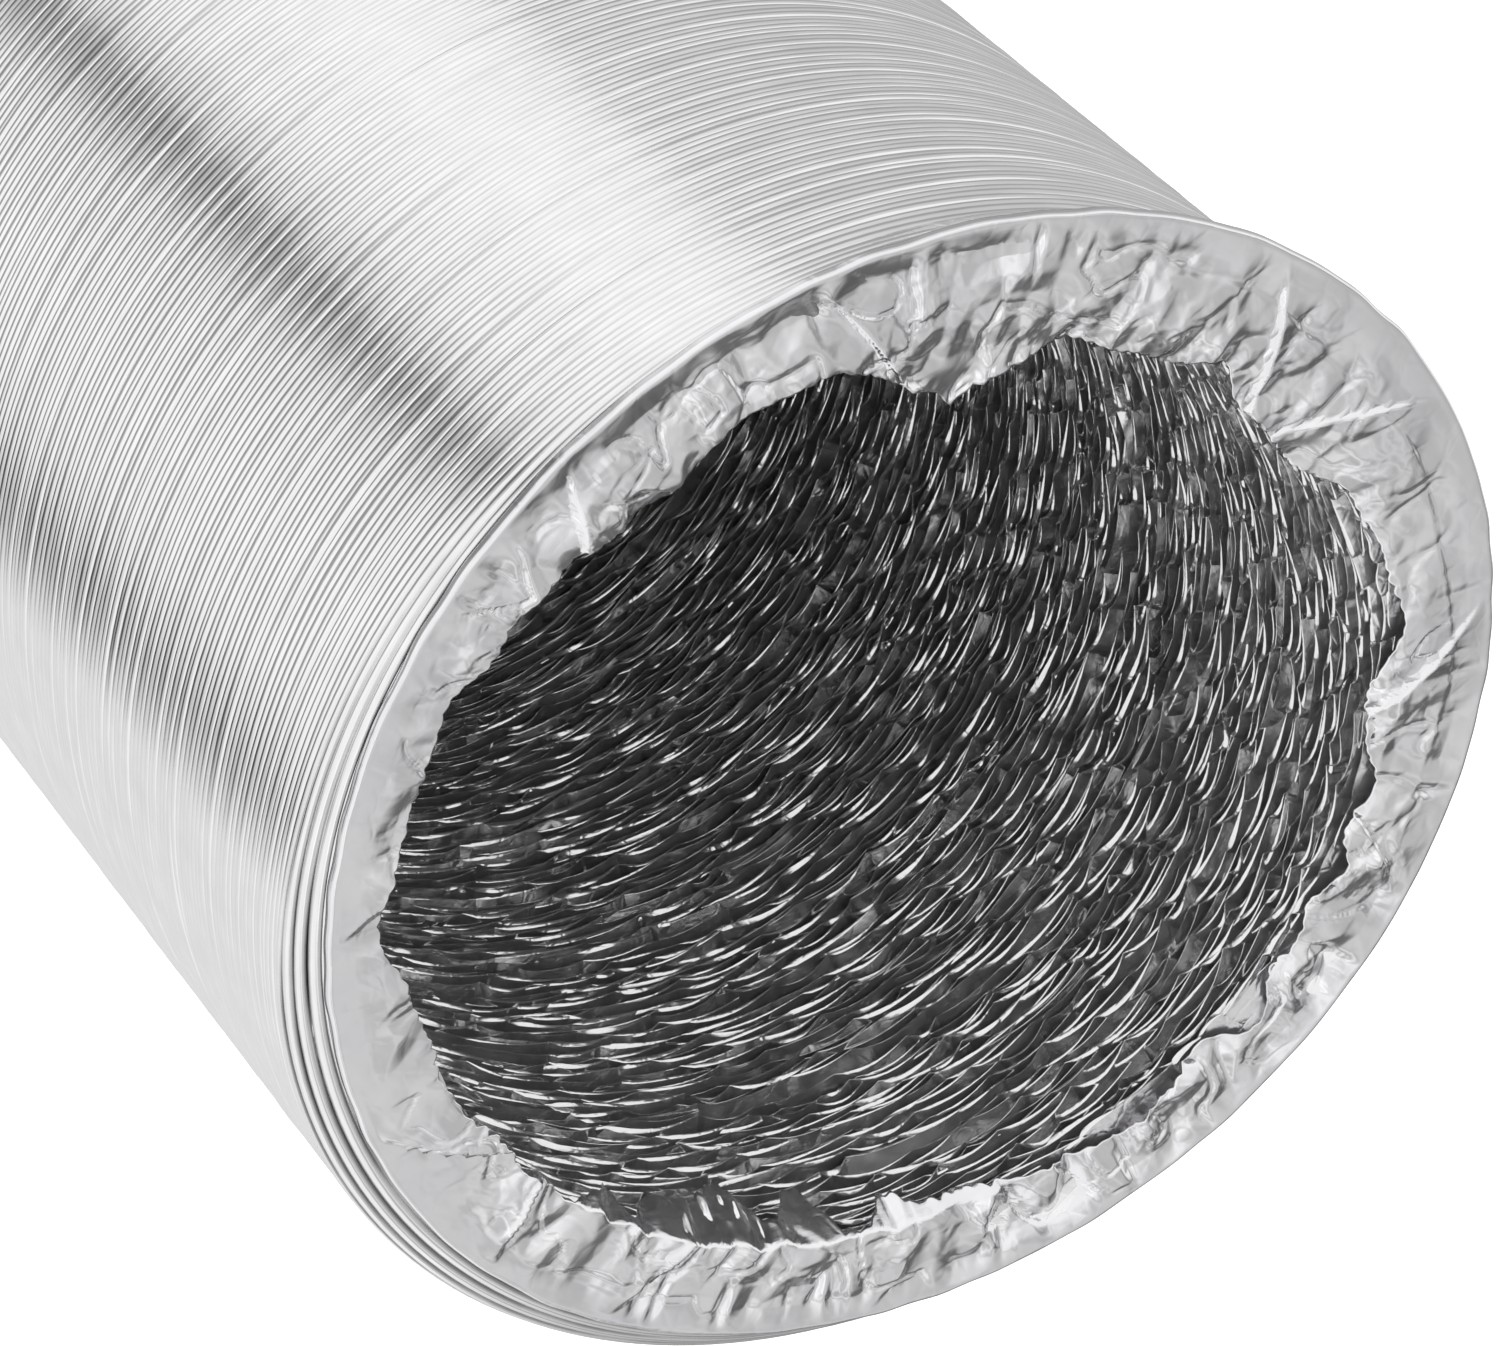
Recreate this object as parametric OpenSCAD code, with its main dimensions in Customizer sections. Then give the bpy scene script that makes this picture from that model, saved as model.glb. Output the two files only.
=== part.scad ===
// Flexible air duct: a hose of aluminium foil laminate on a spring-steel wire, pushed together
// as it is packed and stored. It stands on its rear end with its axis along +Z, and the origin
// is at the middle of the rear end face.
//
// The wire lies between two plies of foil. The outer ply is a ribbed sleeve over the turns of
// wire. The inner ply passes under each turn and hangs into the duct between two turns as a
// pleat, and that stored foil is what lets the duct stretch and bend. The hose is divided into
// sections, and one free pleat between two neighbouring sections opens as they move apart.

/* [Duct] */
// Diameter of the spigot that the drawn-out duct slips over
spigot_d = 203; // [150:1:305]
// Diameter of the spring-steel wire
wire_d = 0.9; // [0.8:0.05:1]
// Distance between two turns of wire when the duct is pushed together
turn_pitch = 1.5; // [1.5:0.05:2.4]
// Turns of wire in one section
turns_per_section = 16; // [4:1:24]

/* [Foil] */
// Thickness of one ply of the foil laminate
ply_t = 0.12; // [0.1:0.01:0.13]
// Film of glue between the wire and each ply
glue_t = 0.09; // [0.08:0.01:0.1]
// How far a pleat hangs into the duct
pleat_depth = 15.4; // [8:0.1:20]
// How far the outer ply dips between two turns, measured from the middle of the wire
valley_depth = 0.35; // [0.2:0.05:0.4]

/* [End cuffs] */
// Thickness of the foil where it is folded back on itself over an end turn
cuff_t = 0.24; // [0.2:0.01:0.3]
// Width of the outer band of a cuff, along the axis
cuff_band_w = 2.6; // [2.4:0.1:4]
// Radius of the rounded outer edge of a cuff
cuff_edge_r = 1.2; // [0.8:0.1:1.4]
// Radius of the rolled lip round the mouth
lip_r = 0.9; // [0.6:0.1:1.2]
// Straight length of the rolled lip inside the mouth
lip_length = 2; // [1:0.1:3]

/* [Clearances] */
// Free gap between two sections that move against each other
section_gap = 0.3; // [0.25:0.01:0.35]
// Gap between a cuff and the foil of its section
cuff_gap = 0.2; // [0.15:0.01:0.3]
// Gap between the mouth's lip and the nearest pleat
lip_gap = 0.5; // [0.3:0.1:1]

/* [Hidden] */
$fn = 144;
profile_fn = 48;
sections = 12;
cut = 1;

wire_r = wire_d / 2;
rib_in_r = wire_r + glue_t;
rib_r = rib_in_r + ply_t;
// The straight flanks of a rib stand a little inside its round top
flank_share = 0.97;
// Sides of the bed of glue that fills a rib round the wire
bed_sides = 8;

// Radii from the axis
root_r = spigot_d / 2 + 0.1 + ply_t / 2;
wire_line_r = root_r + ply_t / 2 + glue_t + wire_r;
valley_r = wire_line_r - valley_depth;
crest_r = root_r - pleat_depth;
mouth_r = crest_r - ply_t / 2 - lip_gap - cuff_t;
band_r = wire_line_r + rib_r + cuff_gap + cuff_t;

// Heights along the axis
first_turn_z = cuff_t + cuff_gap / 2 + rib_r + 0.2;
section_pitch = turns_per_section * turn_pitch;
duct_h = 2 * first_turn_z + (sections * turns_per_section - 1) * turn_pitch;

// Half-widths, along the axis, of the folds in the inner ply, and of its ends
root_fold = 0.2;
crest_fold = 0.15;
ply_end = root_fold + ply_t / 2;
// Walls and fold of a free pleat, measured from the last turn of the section that carries it
free_near_z = ply_end + ply_t;
free_far_z = turn_pitch - ply_end - section_gap - ply_t / 2;
free_crest_z = (free_near_z + free_far_z) / 2;
free_crest_fold = 0.11;

section_names = [for (k = [1 : sections]) k < 10 ? str("0", k) : str(k)];
joint_names = [for (k = [0 : sections - 2]) section_names[k]];

// Height of turn i of a section above the foot of the duct; k counts sections from 0
function turn_z(k, i) = first_turn_z + k * section_pitch + i * turn_pitch;

// Edge of a pleated ply, from its first root to its last: side is 1 for the face that looks
// out of the duct and -1 for the one that looks into it
function pleat_edge(side, turns) = [
    for (i = [0 : turns - 1])
        let (z = i * turn_pitch, half = ply_t / 2 * side, fold = root_fold + half)
        for (p = [
            [root_r + half, z - (i == 0 ? ply_end : fold)],
            [root_r + half, z + (i == turns - 1 ? ply_end : fold)],
            if (i < turns - 1) [crest_r + half, z + turn_pitch / 2 - crest_fold + half],
            if (i < turns - 1) [crest_r + half, z + turn_pitch / 2 + crest_fold - half]
        ]) p
];

// The same points from last to first
function reversed(points) = [for (i = [len(points) - 1 : -1 : 0]) points[i]];

// Turns of the spring-steel wire in one section
module wire_turns(k) {
    color("darkgray")
        for (i = [0 : turns_per_section - 1])
            translate([0, 0, turn_z(k, i)])
                rotate_extrude()
                    translate([wire_line_r, 0])
                        circle(r = wire_r, $fn = profile_fn);
}

// Outside of a rib's section: a round top on two straight flanks
module rib_outside() {
    flank = rib_r * flank_share;
    circle(r = rib_r, $fn = profile_fn);
    translate([-valley_depth, -flank])
        square([valley_depth, 2 * flank]);
}

// Inside of a rib's section: flats round the wire, open towards the duct
module rib_bed() {
    flank = rib_in_r * flank_share;
    rotate(180 / bed_sides)
        circle(r = flank / cos(180 / bed_sides), $fn = bed_sides);
    translate([-valley_depth - cut, -flank])
        square([valley_depth + cut, 2 * flank]);
}

// Outer ply of one section: a ribbed sleeve that dips between the turns
module outer_ply(k) {
    half_end = (turn_pitch - section_gap) / 2;
    last_z = turn_z(k, turns_per_section - 1);
    color("gainsboro")
        rotate_extrude()
            intersection() {
                difference() {
                    union() {
                        for (i = [0 : turns_per_section - 1])
                            translate([wire_line_r, turn_z(k, i)])
                                rib_outside();
                        translate([valley_r, turn_z(k, 0)])
                            square([ply_t, last_z - turn_z(k, 0)]);
                    }
                    for (i = [0 : turns_per_section - 1])
                        translate([wire_line_r, turn_z(k, i)])
                            rib_bed();
                }
                translate([valley_r - cut, turn_z(k, 0) - half_end])
                    square([2 * cut + rib_r + valley_depth, last_z - turn_z(k, 0) + 2 * half_end]);
            }
}

// Inner ply of one section: roots under the wire, and a pleat between each two turns
module inner_ply(k) {
    color("silver")
        translate([0, 0, turn_z(k, 0)])
            rotate_extrude()
                polygon(concat(
                    pleat_edge(1, turns_per_section),
                    reversed(pleat_edge(-1, turns_per_section))
                ));
}

// The free pleat between section k and the next one, which opens when they move apart. It
// carries on from the inner ply of section k and stops short of the next section's.
module joint_pleat(k) {
    half = ply_t / 2;
    inner_face = [
        [root_r - half, ply_end],
        [root_r - half, free_near_z - half],
        [crest_r - half, free_crest_z - free_crest_fold - half],
        [crest_r - half, free_crest_z + free_crest_fold + half],
        [root_r, free_far_z + half]
    ];
    outer_face = [
        [root_r + half, ply_end],
        [root_r + half, free_near_z + half],
        [crest_r + half, free_crest_z - free_crest_fold + half],
        [crest_r + half, free_crest_z + free_crest_fold - half],
        [root_r, free_far_z - half]
    ];
    color("silver")
        translate([0, 0, turn_z(k, turns_per_section - 1)])
            rotate_extrude()
                polygon(concat(inner_face, reversed(outer_face)));
}

// The space that a cuff wraps round, with rounded corners, at distance t inside its outside
module cuff_inside(t) {
    tall = 2 * (cuff_band_w + lip_length);
    translate([mouth_r + lip_r, lip_r])
        circle(r = lip_r - t, $fn = profile_fn);
    translate([band_r - cuff_edge_r, cuff_edge_r])
        circle(r = cuff_edge_r - t, $fn = profile_fn);
    translate([mouth_r + lip_r, t])
        square([band_r - cuff_edge_r - mouth_r - lip_r, tall]);
    translate([mouth_r + t, lip_r])
        square([lip_r, tall]);
    translate([band_r - cuff_edge_r, cuff_edge_r])
        square([cuff_edge_r - t, tall]);
}

// A cuff: the tail of the foil, folded over the end turn and in across the ends of the
// pleats, with a rolled lip round the mouth
module cuff() {
    middle_r = (mouth_r + band_r) / 2;
    color("lightgray")
        rotate_extrude()
            intersection() {
                difference() {
                    cuff_inside(0);
                    cuff_inside(cuff_t);
                }
                union() {
                    translate([mouth_r - cut, -cut])
                        square([middle_r - mouth_r + cut, cut + lip_r + lip_length]);
                    translate([middle_r, -cut])
                        square([band_r - middle_r + cut, cut + cuff_band_w]);
                }
            }
}

module rear_cuff() {
    cuff();
}

module front_cuff() {
    translate([0, 0, duct_h])
        mirror([0, 0, 1])
            cuff();
}

rear_cuff();
for (k = [0 : sections - 1]) {
    wire_turns(k);
    outer_ply(k);
    inner_ply(k);
}
for (k = [0 : sections - 2]) {
    joint_pleat(k);
}
front_cuff();
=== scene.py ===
import bpy
import numpy as np
from mathutils import Matrix, Vector


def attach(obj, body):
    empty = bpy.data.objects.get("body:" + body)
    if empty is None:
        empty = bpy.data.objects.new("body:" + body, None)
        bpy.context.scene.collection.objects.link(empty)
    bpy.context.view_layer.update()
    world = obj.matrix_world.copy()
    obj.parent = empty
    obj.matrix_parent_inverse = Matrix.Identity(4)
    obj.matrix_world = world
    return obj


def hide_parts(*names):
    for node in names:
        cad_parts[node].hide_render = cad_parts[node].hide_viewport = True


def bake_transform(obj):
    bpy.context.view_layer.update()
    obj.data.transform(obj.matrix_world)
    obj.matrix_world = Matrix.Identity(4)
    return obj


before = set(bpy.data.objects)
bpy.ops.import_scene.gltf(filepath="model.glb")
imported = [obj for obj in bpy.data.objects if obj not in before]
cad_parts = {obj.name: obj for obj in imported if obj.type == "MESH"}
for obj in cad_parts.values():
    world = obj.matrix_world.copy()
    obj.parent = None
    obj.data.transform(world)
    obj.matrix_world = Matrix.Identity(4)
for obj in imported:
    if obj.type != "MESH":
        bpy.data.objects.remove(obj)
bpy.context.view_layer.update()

# %% [markdown]
# ## What this object is
# A flexible air duct is a long hose of aluminium foil with a spring-steel wire sealed inside its
# wall. Pushed together for storage it becomes a short stiff tube: 192 turns of wire lie almost
# on each other, the outer foil shows a rib over each turn, and the spare foil hangs into the
# duct as crumpled pleats. The solids of the frame are regular. Everything that makes foil look
# like foil is added here: uneven turns, a rim that has slid to one side, pleats whose edges
# buckle, and a crumpled, torn end. Every surface is worked out with numpy as a function of two
# numbers, the angle round the duct and the position along it counted in turns of wire.

# %% Sizes shared by every piece
# Turns are counted from 0 at the foot of the duct. Radii from its axis: the wire's line and the
# inner ply's roots under it. Radii from the wire's line: the wire and a rib over it.
MM = 0.001
SECTIONS = 12
TURNS = 16
LAST_TURN = SECTIONS * TURNS - 1
PITCH = 1.5 * MM
FIRST_TURN = 1.2 * MM
LENGTH = 2 * FIRST_TURN + LAST_TURN * PITCH
WIRE_LINE = 102.26 * MM
ROOT_R = 101.66 * MM
WIRE_R = 0.45 * MM
RIB_R = 0.66 * MM
names = [f"{k + 1:02d}" for k in range(SECTIONS)]
print("pushed together the duct is", round(LENGTH / MM, 1), "mm long")

# %% [markdown]
# ## How the pushed-together duct stands
# A real duct never stands as a perfect cylinder. Its last few turns slide to one side and step in
# a little, and the rim is tipped by two degrees, because the foil is pulled more tightly on one
# side. Three small functions of the position along the duct describe that, and every piece reads
# them, so the foil, the wire and the pleats stay together.

# %% The line that the turns follow
# How far the rim slides to one side, how much smaller it is, and the slope of its plane
RIM_SLIDE = 6.1 * MM
RIM_STEP = 0.95 * MM
RIM_TIP = 0.0324


def near_rim(turn, turns):
    """0 along the duct, rising to 1 over the given number of turns before the rim."""
    return np.clip(1 - (LAST_TURN - turn) / turns, 0, 1)


def lean(turn):
    """Sideways place of a turn's middle: the last four turns slide off in growing steps."""
    return -RIM_SLIDE * near_rim(turn, 4) ** 1.6


def tip(turn):
    """Slope of a turn's plane: level along the duct, tipped near the rim."""
    return -RIM_TIP * near_rim(turn, 14) ** 1.5


def fade(turn):
    """0 at both ends of the duct, rising to 1 over seven turns, so the cuffs sit on even turns."""
    return np.clip(np.minimum(turn + 0.5, LAST_TURN + 0.5 - turn) / 7, 0, 1)


def waves(angle, turn, seed, count, lobes, drift, size):
    """A smooth random field that closes round the duct: the sum of cosines of a whole number of
    lobes times the angle plus a drift times the turn, scaled so that its spread is size."""
    rng = np.random.default_rng(seed)
    lobe = rng.integers(lobes[0], lobes[1] + 1, count)
    step = rng.uniform(*drift, count) * rng.choice([-1, 1], count)
    start = rng.uniform(0, 2 * np.pi, count)
    total = sum(np.cos(lobe[i] * angle + step[i] * turn + start[i]) for i in range(count))
    return size * total / np.sqrt(count / 2)


def ring(columns):
    """Even angles once round the duct, as one row."""
    return np.linspace(0, 2 * np.pi, columns, endpoint=False)[None, :]


def turned(angle, degrees):
    """Angle measured from a direction in degrees, from minus to plus half a turn."""
    return (angle - np.radians(degrees) + np.pi) % (2 * np.pi) - np.pi


def bell(angle, middle, width):
    """1 at the middle angle, falling off over the width, both in degrees."""
    return np.exp(-(turned(angle, middle) / np.radians(width)) ** 2)


def height(angle, turn):
    """Height of the wire at a position: even turns, bunched here and spread there."""
    bunched = waves(angle, turn, 3, count=14, lobes=(1, 9), drift=(0.1, 0.8), size=0.15 * MM)
    uneven = waves(angle, turn, 4, count=22, lobes=(0, 14), drift=(1.0, 3.0), size=0.05 * MM)
    return FIRST_TURN + PITCH * turn + (bunched + uneven) * fade(turn)


def radius(angle, turn):
    """Radius of the wire's line about the turn's own middle: a little out of round, different from
    turn to turn, and smaller at the rim."""
    round_off = waves(angle, turn, 5, count=6, lobes=(2, 3), drift=(0.0, 0.05), size=0.25 * MM)
    jitter = waves(angle, turn, 6, count=22, lobes=(1, 10), drift=(0.8, 3.0), size=0.05 * MM)
    return WIRE_LINE - RIM_STEP * near_rim(turn, 3) + (round_off + jitter) * fade(turn)


def place(angle, turn, off_r, off_z=0.0):
    """Points in space for positions on the duct, moved out from the wire's line by off_r and up
    by off_z."""
    r = radius(angle, turn) + off_r
    x = lean(turn) + r * np.cos(angle)
    y = r * np.sin(angle)
    z = height(angle, turn) + off_z + tip(turn) * r * np.cos(angle)
    return np.stack(np.broadcast_arrays(x, y, z), -1)


print("the rim slides by", round(float(lean(191.0)) / MM, 1), "mm")

# %% [markdown]
# ## From a grid of points to a closed skin
# Every piece of a duct is a ring, so its surface is a grid that closes in both directions: each
# row is a ring round the duct, and the rows go up on the outside and come down on the inside.
# Such a grid has no edge and no pole, and its faces all point outwards. It goes into the mesh
# in bulk with foreach_set, which is far quicker than one face at a time.

# %% Build a closed skin
def closed_skin(name, grid, material, folded=(), creased=()):
    """Mesh object from points of shape (skins, rows, columns, 3); a single skin may leave out the
    first axis. Rows and columns both wrap round. folded lists the rows that are sharp folds, and
    creased lists the columns that are."""
    grid = grid.reshape((-1,) + grid.shape[-3:])
    skins, rows, columns = grid.shape[:3]
    k, r, c = np.meshgrid(*[np.arange(n) for n in (skins, rows, columns)], indexing="ij")

    def at(row, column):
        return (k * rows + row % rows) * columns + column % columns

    faces = np.stack([at(r, c), at(r, c + 1), at(r + 1, c + 1), at(r + 1, c)], -1).reshape(-1, 4)
    mesh = bpy.data.meshes.new(name)
    mesh.vertices.add(skins * rows * columns)
    mesh.vertices.foreach_set("co", grid.astype(np.float32).ravel())
    mesh.loops.add(faces.size)
    mesh.loops.foreach_set("vertex_index", faces.astype(np.int32).ravel())
    mesh.polygons.add(len(faces))
    mesh.polygons.foreach_set("loop_start", np.arange(0, faces.size, 4, dtype=np.int32))
    mesh.polygons.foreach_set("use_smooth", np.ones(len(faces), bool))
    mesh.update(calc_edges=True)
    if len(folded):
        ends = np.empty(len(mesh.edges) * 2, np.int32)
        mesh.edges.foreach_get("vertices", ends)
        row, column = ends.reshape(-1, 2) // columns, ends.reshape(-1, 2) % columns
        sharp = (row[:, 0] == row[:, 1]) & np.isin(row[:, 0] % rows, folded)
        sharp |= (column[:, 0] == column[:, 1]) & np.isin(column[:, 0], creased)
        mesh.attributes.new("sharp_edge", "BOOLEAN", "EDGE").data.foreach_set("value", sharp)
    mesh.materials.append(material)
    piece = bpy.data.objects.new(name, mesh)
    bpy.context.scene.collection.objects.link(piece)
    return piece


# %% [markdown]
# ## Foil finishes
# All the foil is the same kind of laminate, but it shows three faces. The outer ply is bright
# and streaked along the ribs. The torn end is softly creased. The inner ply is rubbed dull, so
# it smears what it mirrors. A metal gets its look from its surroundings, so each finish is a
# plain metallic surface whose colour, roughness and small bumps vary a little. Image textures
# could do that, but patterns worked out from Object coordinates need no unwrapping and never
# repeat. One node group makes the crinkle pattern for all the finishes.

# %% Helpers for nodes
# A Mix node numbers its colour sockets: inputs 6 and 7, output 2
COLOUR_A, COLOUR_B, MIXED = 6, 7, 2


def new_node(tree, kind, inputs=(), **settings):
    """New node with its settings, such as its operation, and then the values of its inputs."""
    node = tree.nodes.new(kind)
    for setting, value in settings.items():
        setattr(node, setting, value)
    for socket, value in dict(inputs).items():
        node.inputs[socket].default_value = value
    return node


def link(tree, a, b):
    """Join an output socket to an input socket."""
    tree.links.new(a, b)


print("colours of a Mix node:", COLOUR_A, "and", COLOUR_B, "in,", MIXED, "out")

# %% A crinkle pattern shared by the finishes
def crinkle_group():
    """Node group: its height mixes fine streaks along the ribs with grooves along the cell edges of
    a bent Voronoi pattern, and its mask is the streaks times a broad noise."""
    tree = bpy.data.node_groups.new("Foil crinkle", "ShaderNodeTree")
    for name, side in (("Streak scale", "INPUT"), ("Crease scale", "INPUT"),
                       ("Crease share", "INPUT"), ("Height", "OUTPUT"), ("Mask", "OUTPUT")):
        tree.interface.new_socket(name, in_out=side, socket_type="NodeSocketFloat")
    give, take = new_node(tree, "NodeGroupInput"), new_node(tree, "NodeGroupOutput")
    where = new_node(tree, "ShaderNodeTexCoord")
    flat = new_node(tree, "ShaderNodeMapping", {"Scale": (0.12, 0.12, 3.0)})
    streak = new_node(tree, "ShaderNodeTexNoise", {"Detail": 3.0, "Roughness": 0.6})
    bend = new_node(tree, "ShaderNodeTexNoise", {"Scale": 160.0, "Detail": 2.0})
    warp = new_node(tree, "ShaderNodeVectorMath", {1: (0.004, 0.004, 0.004)},
                    operation="MULTIPLY_ADD")
    crease = new_node(tree, "ShaderNodeTexVoronoi", feature="DISTANCE_TO_EDGE")
    groove = new_node(tree, "ShaderNodeMapRange", {"From Max": 0.16})
    mix = new_node(tree, "ShaderNodeMix", data_type="FLOAT")
    dents = new_node(tree, "ShaderNodeMath", operation="MULTIPLY")
    link(tree, where.outputs["Object"], flat.inputs["Vector"])
    link(tree, flat.outputs["Vector"], streak.inputs["Vector"])
    link(tree, give.outputs["Streak scale"], streak.inputs["Scale"])
    link(tree, where.outputs["Object"], bend.inputs["Vector"])
    link(tree, bend.outputs["Color"], warp.inputs[0])
    link(tree, where.outputs["Object"], warp.inputs[2])
    link(tree, warp.outputs["Vector"], crease.inputs["Vector"])
    link(tree, give.outputs["Crease scale"], crease.inputs["Scale"])
    link(tree, crease.outputs["Distance"], groove.inputs["Value"])
    link(tree, give.outputs["Crease share"], mix.inputs["Factor"])
    link(tree, streak.outputs["Fac"], mix.inputs["A"])
    link(tree, groove.outputs["Result"], mix.inputs["B"])
    link(tree, mix.outputs["Result"], take.inputs["Height"])
    link(tree, streak.outputs["Fac"], dents.inputs[0])
    link(tree, bend.outputs["Fac"], dents.inputs[1])
    link(tree, dents.outputs["Value"], take.inputs["Mask"])
    return tree


CRINKLE = crinkle_group()
print("crinkle group:", len(CRINKLE.nodes), "nodes")

# %% Foil and steel
def foil_finish(name, dark, light, rough, streaks, creases, crease_share, bump, metal=1.0):
    """Metal whose colour runs from dark to light and whose roughness runs between two values, both
    by the crinkle mask, with the crinkle height as a bump. streaks and creases are the scales of
    the two patterns, and bump is its strength and its depth in metres."""
    material = bpy.data.materials.new(name)
    material.use_nodes = True
    tree = material.node_tree
    shader = tree.nodes["Principled BSDF"]
    shader.inputs["Metallic"].default_value = metal
    crinkle = new_node(tree, "ShaderNodeGroup", node_tree=CRINKLE)
    crinkle.inputs["Streak scale"].default_value = streaks
    crinkle.inputs["Crease scale"].default_value = creases
    crinkle.inputs["Crease share"].default_value = crease_share
    colour = new_node(tree, "ShaderNodeValToRGB")
    for stop, at, shade in zip(colour.color_ramp.elements, (0.12, 0.42), (dark, light)):
        stop.position = at
        stop.color = (*shade, 1)
    gloss = new_node(tree, "ShaderNodeMapRange",
                     {"From Min": 0.1, "From Max": 0.45, "To Min": rough[0], "To Max": rough[1]})
    relief = new_node(tree, "ShaderNodeBump", {"Strength": bump[0], "Distance": bump[1]})
    link(tree, crinkle.outputs["Mask"], colour.inputs["Fac"])
    link(tree, colour.outputs["Color"], shader.inputs["Base Color"])
    link(tree, crinkle.outputs["Mask"], gloss.inputs["Value"])
    link(tree, gloss.outputs["Result"], shader.inputs["Roughness"])
    link(tree, crinkle.outputs["Height"], relief.inputs["Height"])
    link(tree, relief.outputs["Normal"], shader.inputs["Normal"])
    return material


outer_foil = foil_finish("outer foil", (0.86, 0.86, 0.865), (0.93, 0.93, 0.935), (0.05, 0.09),
                         streaks=900, creases=500, crease_share=0.15, bump=(0.10, 0.0001))
cuff_foil = foil_finish("end foil", (0.84, 0.83, 0.85), (0.93, 0.925, 0.94), (0.12, 0.20),
                        streaks=300, creases=190, crease_share=0.4, bump=(0.16, 0.0003))
inner_foil = foil_finish("pleat foil", (0.84, 0.835, 0.84), (0.92, 0.915, 0.92), (0.16, 0.28),
                         streaks=400, creases=300, crease_share=0.5, bump=(0.30, 0.0003),
                         metal=0.92)
wire_steel = foil_finish("spring steel", (0.40, 0.39, 0.38), (0.56, 0.55, 0.54), (0.28, 0.38),
                         streaks=1200, creases=900, crease_share=0.1, bump=(0.1, 0.0001))
print("finishes:", [m.name for m in (outer_foil, cuff_foil, inner_foil, wire_steel)])

# %% [markdown]
# ## Painted shade in the slits of the outer foil
# Beside the rim the foil of the last turns parts on one side, and one looks into the dark
# between the plies. Real openings could be cut, but they would tear the closed skin. So the
# skin only steps in a little, and the dark of the gap is painted shade: the skin carries an
# attribute, 0 on foil and 1 in a slit, that turns the finish from metal to a dull black.

# %% Paint shade on the outer foil: black where the slit's shade value says
# Painted shade: the black that stands in for the dark gap between the plies
SLIT_SHADE_BLACK = (0.012, 0.012, 0.012, 1)


def paint_slit_shade(material):
    """Painted shade: mix the base colour with black by the shade value, and take that value off the
    metal.
    """
    tree = material.node_tree
    shader = tree.nodes["Principled BSDF"]
    slit_shade = new_node(tree, "ShaderNodeAttribute", attribute_name="slit_shade")
    black = new_node(tree, "ShaderNodeMix", {COLOUR_B: SLIT_SHADE_BLACK}, data_type="RGBA")
    dull = new_node(tree, "ShaderNodeMath", {0: 1.0}, operation="SUBTRACT")
    link(tree, slit_shade.outputs["Fac"], black.inputs["Factor"])
    link(tree, shader.inputs["Base Color"].links[0].from_socket, black.inputs[COLOUR_A])
    link(tree, black.outputs[MIXED], shader.inputs["Base Color"])
    link(tree, slit_shade.outputs["Fac"], dull.inputs[1])
    link(tree, dull.outputs["Value"], shader.inputs["Metallic"])


paint_slit_shade(outer_foil)
print("the outer foil reads", len(outer_foil.node_tree.nodes), "nodes")

# %% [markdown]
# ## The spring-steel wire
# One long wire winds through the whole duct between the two plies of foil and keeps it round.
# It could be one helix, but the duct opens between the sections of the frame, so each section
# gets its own rings. A ring is a small circle carried round a large one, and all the rings of
# a section go into one mesh.

# %% Wire rings of each section
def wire_rings(k, points=6, columns=60):
    """For each turn, the points of a circle of WIRE_R about the wire's line, at even angles."""
    turn = (k * TURNS + np.arange(TURNS))[:, None, None].astype(float)
    around = ring(points).reshape(1, -1, 1)
    return place(ring(columns), turn, WIRE_R * np.cos(around), WIRE_R * np.sin(around))


wires = []
for k, n in enumerate(names):
    wire = closed_skin(f"wire_rings_{n}", wire_rings(k), wire_steel)
    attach(wire, f"section_{n}")
    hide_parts(f"wire_turns_{n}")
    wires.append(wire)
print("wire rings:", sum(len(w.data.polygons) for w in wires) * 2, "triangles")

# %% [markdown]
# ## The ribbed outer ply
# The outer ply is drawn tight over the wire, so each turn shows as a round rib and the foil
# tucks in sharply between two ribs. A bump map could draw ribs on a plain tube, but its outline
# would stay smooth and the slits between the last turns would be lost. Here rows of points
# follow an arch over every turn and meet in a sharp valley. The arch is set off square to the
# line of the turns, which keeps the ribs round where the last turns fan out. The valleys
# differ a little in depth, and the slits are valleys that step in further.

# %% Profile of a rib and the slits
# Rows of points over one rib, in turns from its middle
RIB_STEPS = np.array([-0.5, -0.38, -0.2, 0.0, 0.2, 0.38])
# Each sleeve stops this part of a turn short of half way to the next one
SECTION_GAP = 0.03
VALLEY_DEPTH = 0.38 * MM
SLIT_DEPTH = 1.6 * MM
# Painted shade across a rib in a slit: distance from its middle in turns, and how much of the shade
# shows there
SLIT_SHADE_EDGE = ([0.3, 0.38, 0.5], [0, 0.62, 1.0])


def rib_height(step):
    """Arched profile: 0 at the middle of a turn, falling with nearly the square of the distance to
    -1 half a turn away, where it meets the next rib in a sharp valley."""
    return -np.abs(2 * step) ** 1.9


def slit_share(angle, turn):
    """How far the foil parts, from 0 to 1: a long opening beside the rim and three shorter ones
    below it, each fading out along the rim like a bell. It also sets where painted shade goes."""
    beside = (turn > LAST_TURN - 1) * bell(angle, -25, 62)
    below = (turn > LAST_TURN - 4) * (turn < LAST_TURN - 1) * bell(angle, 12, 45)
    return np.clip(1.6 * (beside + below), 0, 1)


print("a rib is", round(RIB_R / MM, 2), "mm high over the wire's line")

# %% Outer ply of each section
BEHIND_WIRE = -0.56 * MM
BACK_ROWS = 4


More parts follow.
